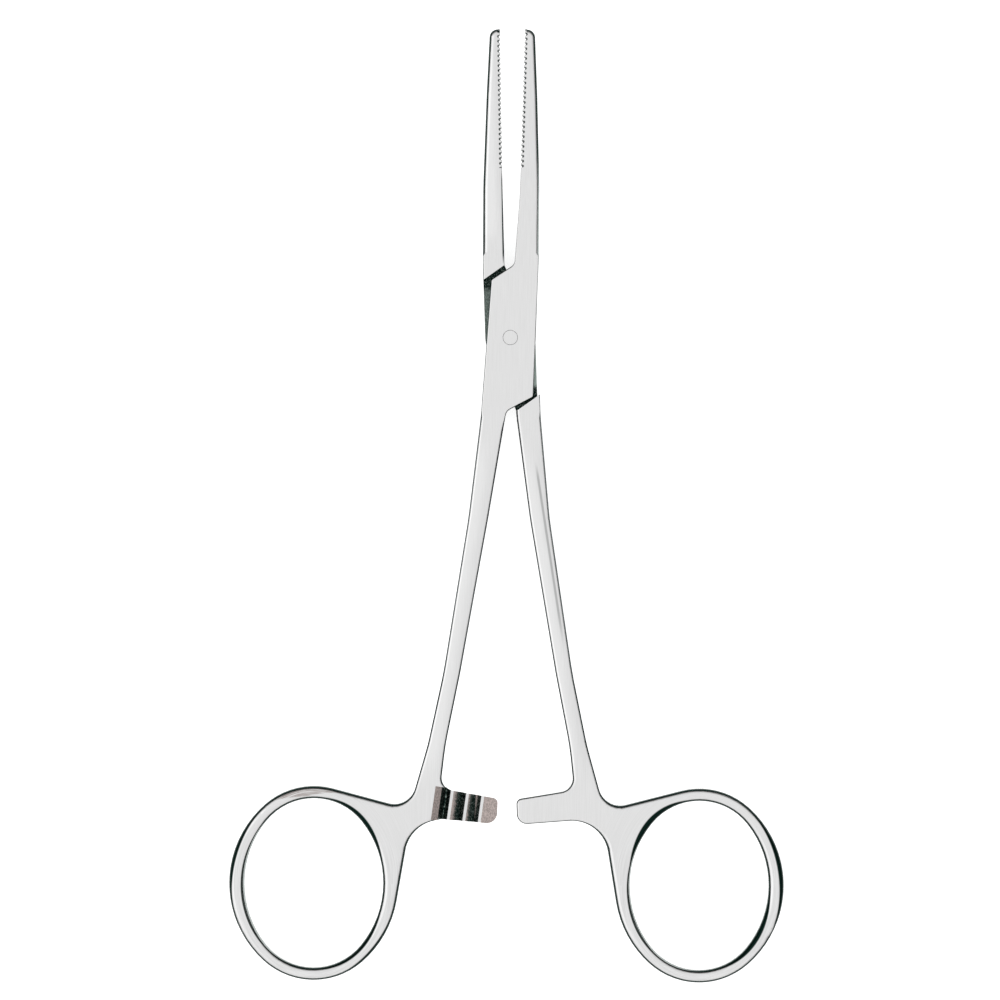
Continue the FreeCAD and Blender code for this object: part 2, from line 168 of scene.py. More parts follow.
class StageSettings(bpy.types.PropertyGroup):
    """Camera, table and light."""

    frame_width: length("Frame width", "Width of the picture at the height of the faces", 146.8)
    lens: FloatProperty(name="Lens", description="Focal length for a 36 mm sensor", default=200.0, min=50)
    roll: angle("Roll", "Turn of the camera about its own axis", 0.4)
    pivot_across: FloatProperty(name="Pivot across", description="Place of the rivet across the picture",
                                default=0.5103, subtype="FACTOR")
    pivot_down: FloatProperty(name="Pivot down", description="Place of the rivet down the picture",
                              default=0.3375, subtype="FACTOR")
    table: colour("Table", "White of the table", "#F4F4F4")
    table_reach: length("Table reach", "Half the width of the table", 3000)
    table_lift: FloatProperty(name="Table lift", description="What the table lacks to show as white",
                              default=0.8)
    tent_lean: angle("Tent lean", "How far the bright side of the tent leans over", 16)
    tent_bearing: angle("Tent bearing", "Direction of the tent's bright side from +X", 250)
    sky_light: FloatProperty(name="Sky light", description="Strength of the tent overhead", default=1.09)
    dark_light: FloatProperty(name="Dark light", description="Strength of the tent on its dark side",
                              default=0.05)
    dark_from: FloatProperty(name="Dark from", description="Cosine to the tent's axis where it is dark",
                             default=0.2)
    bright_from: FloatProperty(name="Bright from", description="Cosine to the axis where it is bright",
                               default=0.55)
    strip_height: angle("Strip height", "Height of the strip light at the left", 48)
    strip_light: FloatProperty(name="Strip light", description="What the strip light adds to the tent",
                               default=0.4)
    strip_from: FloatProperty(name="Strip from", description="Cosine to the strip's middle where it starts",
                              default=0.86)
    strip_full: FloatProperty(name="Strip full", description="Cosine to the strip's middle where it is full",
                              default=0.97)


def add(tree, kind, inputs=None, **settings):
    """One shader node with its settings.

    Inputs gives each socket a value, an output, or a node, whose first output in use is then linked.
    """
    made = tree.nodes.new("ShaderNode" + kind)
    for name, value in settings.items():
        setattr(made, name, value)
    for socket, value in (inputs or {}).items():
        if isinstance(value, bpy.types.Node):
            value = next(output for output in value.outputs if output.enabled)
        if isinstance(value, bpy.types.NodeSocket):
            tree.links.new(value, made.inputs[socket])
        else:
            made.inputs[socket].default_value = value
    return made


def blank_material(name):
    """A material with an empty node tree."""
    made = bpy.data.materials.new(name)
    made.use_nodes = True
    made.node_tree.nodes.clear()
    return made, made.node_tree


def half_axes(node):
    """A half's own axes as unit vectors in the frame: across to the side of its jaw, and along."""
    side = 1 if node == "box_half" else -1
    turn = Matrix.Rotation(-side * bpy.context.scene.forceps_sizes.rest_opening / 2, 3, "Z")
    return turn @ Vector((side, 0, 0)), turn @ Vector((0, 1, 0))


def merged_copy(node, name):
    """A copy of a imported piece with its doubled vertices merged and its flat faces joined."""
    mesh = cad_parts[node].data.copy()
    mesh.name = name
    work = bmesh.new()
    work.from_mesh(mesh)
    bmesh.ops.remove_doubles(work, verts=work.verts, dist=MERGE_WITHIN)
    bmesh.ops.dissolve_limit(work, angle_limit=FLAT_WITHIN, verts=work.verts, edges=work.edges,
                             delimit=set())
    work.to_mesh(mesh)
    work.free()
    mesh.materials.clear()
    mesh.shade_smooth()
    mesh.set_sharp_from_angle(angle=SHARP_FROM)
    return mesh


def link(mesh, body, node):
    """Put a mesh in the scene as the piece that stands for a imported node."""
    piece = bpy.data.objects.new(mesh.name, mesh)
    bpy.context.scene.collection.objects.link(piece)
    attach(piece, body)
    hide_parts(node)
    return piece


def own_axes(mesh, node):
    """A UV map that lays out a half on its own axes, in metres: across, and along."""
    across, along = half_axes(node)
    corner_points = np.empty(len(mesh.loops), np.int32)
    mesh.loops.foreach_get("vertex_index", corner_points)
    points = np.empty(3 * len(mesh.vertices))
    mesh.vertices.foreach_get("co", points)
    points = points.reshape(-1, 3)[corner_points]
    flat = np.stack([points @ np.array(across), points @ np.array(along)], axis=1)
    mesh.uv_layers.new(name=OWN_AXES).data.foreach_set("uv", flat.ravel())


def sharp_edges(mesh, node):
    """Weight 1 for the edges that are broken by a hair: those of the lock and of the ratchet teeth.

    The rounded rims of the ring and the shank have no sharp edge and keep their own shape.
    """
    sizes = bpy.context.scene.forceps_sizes
    outward, forward = half_axes(node)
    work = bmesh.new()
    work.from_mesh(mesh)
    weight = work.edges.layers.float.new("bevel_weight_edge")
    for edge in work.edges:
        if len(edge.link_faces) != 2 or edge.calc_face_angle() < SHARP_FROM:
            continue
        middle = (edge.verts[0].co + edge.verts[1].co) / 2
        along, across = middle.dot(forward), middle.dot(outward)
        in_teeth = along < -sizes.bar_top and across > -sizes.bar_root
        if abs(along) < sizes.lock_half_length or in_teeth:
            edge[weight] = 1
    work.to_mesh(mesh)
    work.free()


def broken_edges(piece):
    """Break the weighted edges by a hair and keep the flat faces flat in shading."""
    bevel = piece.modifiers.new("edge break", "BEVEL")
    bevel.width = bpy.context.scene.forceps_sizes.edge_break
    bevel.segments = 2
    bevel.limit_method = "WEIGHT"
    weighted = piece.modifiers.new("flat faces", "WEIGHTED_NORMAL")
    weighted.keep_sharp = True


def zones(mesh, node):
    """Give each face of a half its finish: 0 ground with painted rim reflections, 1 milled with painted
    shade, 2 the ramps of the ratchet.

    A face is placed by its centre and its normal on the half's own axes, and by its height above the
    middle of the thickness. How level a face lies is the upward part of its normal, from 0 to 1.
    """
    sizes = bpy.context.scene.forceps_sizes
    flat_from, ramp_from, tilted_from, upright_below = 0.995, 0.8, 0.2, 0.05
    sideways_from, groove_wall_from, wall_share = 0.9, 0.3, 0.7
    count = len(mesh.polygons)
    centre, normal = np.empty(3 * count), np.empty(3 * count)
    mesh.polygons.foreach_get("center", centre)
    mesh.polygons.foreach_get("normal", normal)
    outward, forward = (np.array(axis) for axis in half_axes(node))
    centre, normal = centre.reshape(-1, 3), normal.reshape(-1, 3)
    across, along, up = centre @ outward, centre @ forward, centre[:, 2] - MID_HEIGHT
    level = np.abs(normal[:, 2])

    beside_slot = np.abs(across) > wall_share * sizes.lock_half_width
    outer_side = (np.abs(normal @ outward) > sideways_from) & beside_slot
    in_lock = (np.abs(across) < sizes.lock_half_width) & (np.abs(along) < sizes.lock_half_length)
    inside = in_lock & (np.abs(up) < sizes.tongue_half_height) & ~outer_side

    to_other_bar = normal[:, 2] * (1 if node == "box_half" else -1)
    on_bar = (along < -sizes.bar_top) & (along > -sizes.bar_top - sizes.bar_length)
    on_bar &= across > -sizes.bar_root
    cut = on_bar & (to_other_bar > tilted_from) & (up * np.sign(to_other_bar) < sizes.bar_cut_below)
    land = cut & (level > flat_from) & (np.abs(up) < sizes.tooth_depth / 4)
    ramp = cut & (level > ramp_from) & (level <= flat_from)

    groove = (along > sizes.serrated_from) & (np.abs(across) < sizes.tongue_half_height)
    groove &= (level < upright_below) & (np.abs(normal @ forward) > groove_wall_from)

    finish = np.zeros(count, np.int32)
    # The serration groove walls and the steep faces of the teeth get the milled finish for its painted
    # shade.
    finish[inside | groove | (cut & ~ramp & ~land)] = 1
    finish[ramp] = 2
    mesh.polygons.foreach_set("material_index", finish)


def grind_grain(tree, position, width, run):
    """Noise drawn out along Y into fine scratches, from positions in metres."""
    stretched = add(tree, "Mapping", {"Vector": position, "Scale": (1 / width, 1 / run, 1 / width)})
    return add(tree, "TexNoise", {"Vector": stretched, "Scale": 1.0, "Detail": 3.0, "Roughness": 0.55})


def cutter_marks(tree, position):
    """The short marks of a milling cutter, coarser than the scratches of the grinding."""
    scratch = bpy.context.scene.forceps_sizes.grain_width
    return grind_grain(tree, position, 2 * scratch, 3 * scratch)


def ring_rim(tree, position, side, half_width, half_length):
    """Place of a point on an oval of a finger ring: how far beyond it in metres, and in which direction.

    The oval stands upright round the middle of the ring at one side, so a point's place divided by the two
    half sizes has a length of 1 on it.
    """
    sizes = bpy.context.scene.forceps_sizes
    middle = (side * sizes.ring_side, -sizes.ring_below, 0)
    scaled = add(tree, "Mapping", {"Vector": position, "Location": middle,
                                   "Scale": (half_width, half_length, 1)}, vector_type="TEXTURE")
    flat = add(tree, "VectorMath", {0: scaled, 1: (1, 1, 0)}, operation="MULTIPLY")
    radius = add(tree, "VectorMath", {0: flat}, operation="LENGTH")
    heading = add(tree, "VectorMath", {0: flat}, operation="NORMALIZE")
    past = add(tree, "Math", {0: radius, 1: 1.0}, operation="SUBTRACT")
    beyond = add(tree, "Math", {0: past, 1: (half_width + half_length) / 2}, operation="MULTIPLY")
    return beyond, heading


def rim_crescent(tree, beyond, heading, degrees, depth, narrowness):
    """A crescent mask along a ring's rim: 1 inside it, 0 elsewhere.

    It is depth wide in the direction given in degrees from +X, and narrows with a power of the cosine. It
    keeps off the side wall before the rim, and ends where it gets too thin to see.
    """
    edge_full, edge_gone = 0.12 * MM, -0.05 * MM
    rim_full, rim_gone = -0.05 * MM, -0.15 * MM
    width_full, width_gone = 0.15 * MM, 0.02 * MM
    bearing = math.radians(degrees)
    towards = (math.cos(bearing), math.sin(bearing), 0)
    cosine = add(tree, "VectorMath", {0: heading, 1: towards}, operation="DOT_PRODUCT")
    ahead = add(tree, "Math", {0: cosine, 1: 0.0}, operation="MAXIMUM")
    narrowed = add(tree, "Math", {0: ahead, 1: narrowness}, operation="POWER")
    width = add(tree, "Math", {0: narrowed, 1: depth}, operation="MULTIPLY")
    left = add(tree, "Math", {0: width, 1: beyond}, operation="SUBTRACT")
    within = add(tree, "MapRange", {0: left, 1: edge_gone, 2: edge_full}, **SMOOTH)
    on_rim = add(tree, "MapRange", {0: beyond, 1: rim_gone, 2: rim_full}, **SMOOTH)
    wide = add(tree, "MapRange", {0: width, 1: width_gone, 2: width_full}, **SMOOTH)
    rim = add(tree, "Math", {0: within, 1: on_rim}, operation="MULTIPLY")
    return add(tree, "Math", {0: rim, 1: wide}, operation="MULTIPLY")


def rim_crescents(tree, position, marks):
    """All crescents of a table of marks together, from 0 to 1."""
    sizes = bpy.context.scene.forceps_sizes
    total = 0.0
    for side, hole_marks, outer_marks in marks:
        crescents = []
        if hole_marks:
            beyond, heading = ring_rim(tree, position, side, sizes.hole_half_width, sizes.hole_half_length)
            crescents += [(beyond, heading, mark) for mark in hole_marks]
        if outer_marks:
            beyond, heading = ring_rim(tree, position, side, sizes.ring_half_width, sizes.ring_half_length)
            inwards = add(tree, "Math", {0: beyond, 1: -1.0}, operation="MULTIPLY")
            crescents += [(inwards, heading, mark) for mark in outer_marks]
        for distance, heading, (degrees, depth, narrowness) in crescents:
            crescent = rim_crescent(tree, distance, heading, degrees, depth * MM, narrowness)
            total = add(tree, "Math", {0: total, 1: crescent}, operation="MAXIMUM")
    return total


def steel_grain(tree, position, spot):
    """The scratches of the satin grinding, which run along the instrument and round the finger rings.

    Round a ring they follow its oval: the scratches are drawn over the distance from the ring's middle and
    the way round it, with the oval squashed to a circle.
    """
    sizes = bpy.context.scene.forceps_sizes
    straight = grind_grain(tree, position, sizes.grain_width, sizes.grain_length)
    aside = add(tree, "Math", {0: spot.outputs["X"]}, operation="ABSOLUTE")
    side = add(tree, "Math", {0: aside, 1: sizes.ring_side}, operation="SUBTRACT")
    above = add(tree, "Math", {0: spot.outputs["Y"], 1: sizes.ring_below}, operation="ADD")
    flattening = sizes.hole_half_width / sizes.hole_half_length
    squashed = add(tree, "Math", {0: above, 1: flattening}, operation="MULTIPLY")
    offset = add(tree, "CombineXYZ", {0: side, 1: squashed})
    radius = add(tree, "VectorMath", {0: offset}, operation="LENGTH")
    bearing = add(tree, "Math", {0: squashed, 1: side}, operation="ARCTAN2")
    arc = add(tree, "Math", {0: bearing, 1: sizes.ring_half_length}, operation="MULTIPLY")
    wound = add(tree, "CombineXYZ", {0: radius, 1: arc, 2: spot.outputs["Z"]})
    round_ring = grind_grain(tree, wound, sizes.grain_width, sizes.grain_length)
    ring_edge, web_edge = sizes.ring_half_length, 1.2 * sizes.ring_half_length
    on_ring = add(tree, "MapRange", {0: radius, 1: web_edge, 2: ring_edge}, **SMOOTH)
    return add(tree, "Mix", {0: on_ring, 2: straight, 3: round_ring})


def from_shank_middle(tree, own):
    """How far a point lies from the middle line of its shank, in metres, towards the side of the jaw."""
    lean = bpy.context.scene.forceps_sizes.shank_lean
    middle = add(tree, "Math", {0: own.outputs["Y"], 1: lean}, operation="MULTIPLY")
    return add(tree, "Math", {0: own.outputs["X"], 1: middle}, operation="SUBTRACT")


def crown_light_and_shade(tree, spot, own):
    """Painted light and shade of the faces' slight crown, added to their tone: lighter at the left, darker
    at the right.

    On a shank it goes by the distance from its middle line, and on the left jaw by the distance from the
    gripping face. It fades out towards the lock and the ratchet bar.
    """
    sizes = bpy.context.scene.forceps_sizes
    shift, half_width, shank_dark, shank_light = 0.4 * MM, 1.2 * MM, -0.12, 0.4
    jaw_inner, jaw_outer, jaw_dark, jaw_light = 0.2 * MM, 2.6 * MM, -0.2, 0.45
    shank_full, jaw_full, bar_fade = 22 * MM, 18 * MM, 8 * MM
    height = spot.outputs["Y"]
    side = add(tree, "Math", {0: spot.outputs["X"]}, operation="SIGN")

    shifted = add(tree, "Math", {0: from_shank_middle(tree, own), 1: shift}, operation="ADD")
    leftward = add(tree, "Math", {0: shifted, 1: side}, operation="MULTIPLY")
    shank_tone = add(tree, "MapRange", {0: leftward, 1: -half_width, 2: half_width, 3: shank_dark,
                                        4: shank_light}, **SMOOTH)
    below_lock = add(tree, "MapRange", {0: height, 1: -sizes.lock_half_length, 2: -shank_full}, **SMOOTH)
    above_bar = add(tree, "MapRange", {0: height, 1: -sizes.bar_top, 2: bar_fade - sizes.bar_top}, **SMOOTH)
    shank = add(tree, "Math", {0: below_lock, 1: above_bar}, operation="MULTIPLY")
    on_shank = add(tree, "Math", {0: shank, 1: shank_tone}, operation="MULTIPLY")

    jaw_tone = add(tree, "MapRange", {0: own.outputs["X"], 1: jaw_inner, 2: jaw_outer, 3: jaw_dark,
                                      4: jaw_light}, **SMOOTH)
    above_lock = add(tree, "MapRange", {0: height, 1: sizes.lock_half_length, 2: jaw_full}, **SMOOTH)
    at_left = add(tree, "MapRange", {0: side, 1: 0.5, 2: -0.5}, **SMOOTH)
    jaw = add(tree, "Math", {0: above_lock, 1: at_left}, operation="MULTIPLY")
    on_jaw = add(tree, "Math", {0: jaw, 1: jaw_tone}, operation="MULTIPLY")
    return add(tree, "Math", {0: on_shank, 1: on_jaw}, operation="ADD")


def painted_reflection_line(tree, spot, own):
    """A faint painted reflection line along the outer side of the right shank."""
    beside, core, edge, strength = 0.95 * MM, 0.08 * MM, 0.26 * MM, 0.45
    top, top_full, foot_full, foot = -18 * MM, -21 * MM, -40 * MM, -46 * MM
    side_fade = 1 * MM
    height = spot.outputs["Y"]
    shifted = add(tree, "Math", {0: from_shank_middle(tree, own), 1: beside}, operation="ADD")
    distance = add(tree, "Math", {0: shifted}, operation="ABSOLUTE")
    line = add(tree, "MapRange", {0: distance, 1: edge, 2: core}, **SMOOTH)
    at_right = add(tree, "MapRange", {0: spot.outputs["X"], 1: 0.0, 2: side_fade}, **SMOOTH)
    below_top = add(tree, "MapRange", {0: height, 1: top, 2: top_full, 4: strength}, **SMOOTH)
    above_foot = add(tree, "MapRange", {0: height, 1: foot, 2: foot_full}, **SMOOTH)
    streak = add(tree, "Math", {0: line, 1: at_right}, operation="MULTIPLY")
    span = add(tree, "Math", {0: below_top, 1: above_foot}, operation="MULTIPLY")
    return add(tree, "Math", {0: streak, 1: span}, operation="MULTIPLY")


def serration_root_shade(tree, spot, own):
    """Painted shade: dark round spots at the roots of the serrations, one pitch apart.

    A spot goes by the distance from the nearest root. Along, that is what a whole number of pitches below
    the first root leaves over, with the two jaws half a pitch apart. Across, it is the distance from the
    line of the roots, which bows away with the face of the jaw. The inner edge of the left jaw is as dark
    from the last serration down to the throat.
    """
    sizes = bpy.context.scene.forceps_sizes
    half_gap, root_lift = 0.1 * MM, 0.08 * MM
    spot_edge, spot_core, spot_fade = 0.26 * MM, 0.15 * MM, 0.1 * MM
    line_edge, line_core, line_fade = -0.02 * MM, -0.14 * MM, 2 * MM
    side, height = spot.outputs["X"], own.outputs["Y"]
    half_pitch = sizes.serration_pitch / 2
    left_start = sizes.serration_start + half_pitch
    start = add(tree, "MapRange", {0: side, 1: -half_gap, 2: half_gap, 3: left_start,
                                   4: sizes.serration_start})
    below_tip = add(tree, "Math", {0: sizes.jaw_reach, 1: height}, operation="SUBTRACT")
    below_first = add(tree, "Math", {0: below_tip, 1: start}, operation="SUBTRACT")
    shifted = add(tree, "Math", {0: below_first, 1: half_pitch}, operation="ADD")
    nearest = add(tree, "Math", {0: shifted, 1: sizes.serration_pitch}, operation="SNAP")
    along = add(tree, "Math", {0: below_first, 1: nearest}, operation="SUBTRACT")
    slope = sizes.jaw_hollow / (sizes.jaw_reach - sizes.jaw_hollow_at)
    bow = add(tree, "Math", {0: below_tip, 1: slope}, operation="MULTIPLY")
    root = add(tree, "Math", {0: bow, 1: sizes.serration_depth - root_lift}, operation="ADD")
    across = add(tree, "Math", {0: own.outputs["X"], 1: root}, operation="SUBTRACT")
    offset = add(tree, "CombineXYZ", {0: across, 1: along})
    distance = add(tree, "VectorMath", {0: offset}, operation="LENGTH")
    spots = add(tree, "MapRange", {0: distance, 1: spot_edge, 2: spot_core}, **SMOOTH)
    serrated = add(tree, "MapRange", {0: height, 1: sizes.serrated_from,
                                      2: sizes.serrated_from + spot_fade}, **SMOOTH)
    spots = add(tree, "Math", {0: spots, 1: serrated}, operation="MULTIPLY")

    # Painted shade: a dark line along the inner edge of the left jaw.
    line = add(tree, "MapRange", {0: across, 1: line_edge, 2: line_core}, **SMOOTH)
    below = add(tree, "MapRange", {0: height, 1: sizes.serrated_from,
                                   2: sizes.serrated_from - line_fade}, **SMOOTH)
    above_lock = add(tree, "MapRange", {0: height, 1: sizes.lock_half_length - line_fade,
                                        2: sizes.lock_half_length}, **SMOOTH)
    at_left = add(tree, "MapRange", {0: side, 1: 2 * half_gap, 2: -2 * half_gap}, **SMOOTH)
    for mask in (below, at_left, above_lock):
        line = add(tree, "Math", {0: line, 1: mask}, operation="MULTIPLY")
    return add(tree, "Math", {0: spots, 1: line}, operation="MAXIMUM")


def ground_faces(tree, position, spot, own, grain):
    """Colour of the ground faces: streaks of the grain, stronger on the rings, over painted light and shade
    of the crown.

    A brown stain lies on top of the left ring, where the grain is low, and a painted reflection line runs
    along the right shank. The tone is 1 where a face is lightest and 0 where it is darkest.
    """
    sizes, colours = bpy.context.scene.forceps_sizes, bpy.context.scene.forceps_colours
    plain_tone, darkest, ring_fade = 0.72, 0.74, 6 * MM
    shank_contrast, ring_contrast = 0.2, 0.55
    grain_low, grain_high, stain_none, stain_full = 0.3, 0.7, 0.62, 0.4
    streak = add(tree, "MapRange", {0: grain, 1: grain_low, 2: grain_high}, **SMOOTH)
    contrast = add(tree, "MapRange", {0: spot.outputs["Y"], 1: -sizes.bar_top - ring_fade,
                                      2: -sizes.ring_below, 3: shank_contrast, 4: ring_contrast}, **SMOOTH)
    centred = add(tree, "Math", {0: streak, 1: 0.5}, operation="SUBTRACT")
    uneven = add(tree, "Math", {0: contrast, 1: centred}, operation="MULTIPLY")
    # Painted light and shade of the crown.
    crown_shaded = add(tree, "Math", {0: uneven, 1: crown_light_and_shade(tree, spot, own)}, operation="ADD")
    tone = add(tree, "Math", {0: crown_shaded, 1: plain_tone}, operation="ADD")
    dark = [value * darkest for value in colours.ground[:3]] + [1]
    ground = add(tree, "Mix", {0: tone, 6: dark, 7: colours.ground}, data_type="RGBA")

    patchy = add(tree, "MapRange", {0: grain, 1: stain_none, 2: stain_full}, **SMOOTH)
    stained = rim_crescents(tree, position, STAINED_RIMS)
    stain = add(tree, "Math", {0: stained, 1: patchy}, operation="MULTIPLY")
    ground = add(tree, "Mix", {0: stain, 6: ground, 7: colours.tooth}, data_type="RGBA")
    # Painted reflection line along the right shank.
    reflection_line = painted_reflection_line(tree, spot, own)
    return add(tree, "Mix", {0: reflection_line, 6: ground, 7: colours.polished}, data_type="RGBA")


def painted_rims_and_walls(tree, spot, tilt):
    """Painted reflections on the rims and painted shade on the side walls, by the place along the
    instrument.

    Rims get a painted dark reflection on the rings and the jaws, greyer along the shanks and lighter at the
    foot of the right jaw. Side walls are painted grey throughout, as shade.
    """
    sizes, colours = bpy.context.scene.forceps_sizes, bpy.context.scene.forceps_colours
    side, height = spot.outputs["X"], spot.outputs["Y"]
    shank_top, shank_full = -sizes.lock_half_length / 2, -1.2 * sizes.lock_half_length
    shank_end, shank_end_full = 12 * MM - sizes.bar_top, 28 * MM - sizes.bar_top
    foot_top, foot_top_full, foot_end, foot_end_full = 28 * MM, 20 * MM, 0.0, 8 * MM
    right_from, right_full, upright, off_upright = 0.5 * MM, 2 * MM, 0.05, 0.25
    below_lock = add(tree, "MapRange", {0: height, 1: shank_top, 2: shank_full}, **SMOOTH)
    above_web = add(tree, "MapRange", {0: height, 1: shank_end, 2: shank_end_full}, **SMOOTH)
    shank = add(tree, "Math", {0: below_lock, 1: above_web}, operation="MULTIPLY")
    below_teeth = add(tree, "MapRange", {0: height, 1: foot_top, 2: foot_top_full}, **SMOOTH)
    above_rivet = add(tree, "MapRange", {0: height, 1: foot_end, 2: foot_end_full}, **SMOOTH)
    at_right = add(tree, "MapRange", {0: side, 1: right_from, 2: right_full}, **SMOOTH)
    foot = add(tree, "Math", {0: below_teeth, 1: above_rivet}, operation="MULTIPLY")
    jaw_foot = add(tree, "Math", {0: foot, 1: at_right}, operation="MULTIPLY")
    # Painted reflection on the rims: dark, greyer along the shanks, lighter at the right jaw's foot.
    edge = add(tree, "Mix", {0: shank, 6: colours.dark_rim_reflection, 7: colours.polished}, data_type="RGBA")
    edge = add(tree, "Mix", {0: jaw_foot, 6: edge, 7: colours.light_rim_reflection}, data_type="RGBA")
    # Painted shade: side walls grey by how upright they stand.
    wall = add(tree, "MapRange", {0: tilt, 1: upright, 2: off_upright, 3: 1.0, 4: 0.0}, **SMOOTH)
    return add(tree, "Mix", {0: wall, 6: edge, 7: colours.side}, data_type="RGBA")


def finish_steel(tree, base, roughness, height, relief):
    """Close a steel material with its shader, its roughness and the relief of its grain."""
    bump = add(tree, "Bump", {"Height": height, "Strength": 1.0, "Distance": relief})
    shader = add(tree, "BsdfPrincipled", {"Base Color": base, "Metallic": 1.0, "Roughness": roughness,
                                          "Normal": bump})
    add(tree, "OutputMaterial", {"Surface": shader})


def satin_ground_stainless():
    """Stainless steel, ground satin on its faces, with painted reflections on its rims.

    The eye sees pale faces with painted light and shade of a slight crown, a fine grain that follows the
    shape, and a painted dark green-black reflection along each rounded edge, greyer along the shanks, wider
    in painted crescents on the rings and lighter in a few, with painted shade at the serration roots. Real
    scratches are finer than the grain, which is drawn coarse enough to show.
    """
    sizes, colours = bpy.context.scene.forceps_sizes, bpy.context.scene.forceps_colours
    face_from, face_full, rounded_from, rounded_full = 0.72, 0.84, 0.1, 0.4
    rim_roughness, face_roughness, relief = 0.2, 0.3, sizes.grain_width / 50
    material, tree = blank_material("satin_ground_stainless")
    place = add(tree, "TexCoord")
    position = place.outputs["Object"]
    spot = add(tree, "SeparateXYZ", {0: position})
    own = add(tree, "SeparateXYZ", {0: add(tree, "UVMap", uv_map=OWN_AXES)})
    upward = add(tree, "SeparateXYZ", {0: place.outputs["Normal"]})
    tilt = add(tree, "Math", {0: upward.outputs["Z"]}, operation="ABSOLUTE")
    grain = steel_grain(tree, position, spot)
    faces = ground_faces(tree, position, spot, own, grain)
    rims = painted_rims_and_walls(tree, spot, tilt)
    face = add(tree, "MapRange", {0: tilt, 1: face_from, 2: face_full}, **SMOOTH)
    base = add(tree, "Mix", {0: face, 6: rims, 7: faces}, data_type="RGBA")
    off_walls = add(tree, "MapRange", {0: tilt, 1: rounded_from, 2: rounded_full}, **SMOOTH)
    # Painted dark reflection in crescents on the rings and painted shade at the serration roots; painted
    # lighter reflection in a few crescents.
    painted_tone = rim_crescents(tree, position, SHADED_RIMS)
    dark = add(tree, "Math", {0: painted_tone, 1: serration_root_shade(tree, spot, own)}, operation="MAXIMUM")
    light_rim_reflection = rim_crescents(tree, position, LIT_RIMS)
    for marks, tint in ((dark, colours.dark_rim_reflection), (light_rim_reflection, colours.light_rim_reflection)):
        shown = add(tree, "Math", {0: marks, 1: off_walls}, operation="MULTIPLY")
        base = add(tree, "Mix", {0: shown, 6: base, 7: tint}, data_type="RGBA")
    roughness = add(tree, "MapRange", {0: face, 3: rim_roughness, 4: face_roughness}, **SMOOTH)
    finish_steel(tree, base, roughness, grain, relief)
    return material


def milled_shaded_stainless():
    """Milled steel with painted shade, inside the lock, on the serration groove walls and between the teeth.

    Its green-black ground is painted shade of the narrow slots and hollows, with light flecks of tool marks,
    stronger on the ratchet. It is painted lighter on the open side of the tongue, most of all at its right,
    and painted darker in the corners from their ambient occlusion.
    """
    sizes, colours = bpy.context.scene.forceps_sizes, bpy.context.scene.forceps_colours
    lit_end, lit_full, left_share, side_fade = 7.6 * MM, 6.6 * MM, 0.32, 1 * MM
    lock_flecks, bar_flecks, bar_fade, bar_full = 0.4, 0.9, 6 * MM, 2 * MM
    speck_none, speck_full, relief = 0.48, 0.68, sizes.grain_width / 10
    corner_reach, corner, in_the_open = 0.7 * MM, 0.15, 0.55
    material, tree = blank_material("milled_shaded_stainless")
    position = add(tree, "TexCoord").outputs["Object"]
    spot = add(tree, "SeparateXYZ", {0: position})
    marks = cutter_marks(tree, position)
    from_rivet = add(tree, "Math", {0: spot.outputs["Y"]}, operation="ABSOLUTE")
    # Painted light: the tongue is lighter on its open side near the rivet, most at its right.
    near = add(tree, "MapRange", {0: from_rivet, 1: lit_end, 2: lit_full}, **SMOOTH)
    by_side = add(tree, "MapRange", {0: spot.outputs["X"], 1: -side_fade, 2: side_fade,
                                     3: left_share}, **SMOOTH)
    painted_tone = add(tree, "Math", {0: near, 1: by_side}, operation="MULTIPLY")
    specks = add(tree, "MapRange", {0: marks, 1: speck_none, 2: speck_full}, **SMOOTH)
    strength = add(tree, "MapRange", {0: spot.outputs["Y"], 1: bar_fade - sizes.bar_top,
                                      2: bar_full - sizes.bar_top, 3: lock_flecks, 4: bar_flecks}, **SMOOTH)
    flecks = add(tree, "Math", {0: specks, 1: strength}, operation="MULTIPLY")
    light = add(tree, "Math", {0: flecks, 1: painted_tone}, operation="ADD")
    # Painted shade in the corners, from ambient occlusion.
    reach = add(tree, "AmbientOcclusion", {"Distance": corner_reach}, samples=6).outputs["AO"]
    lit_in_open = add(tree, "MapRange", {0: reach, 1: corner, 2: in_the_open}, **SMOOTH)
    shown = add(tree, "Math", {0: light, 1: lit_in_open}, operation="MULTIPLY")
    base = add(tree, "Mix", {0: shown, 6: colours.milled, 7: colours.flecks}, data_type="RGBA")
    finish_steel(tree, base, CUT_ROUGHNESS, marks, relief)
    return material


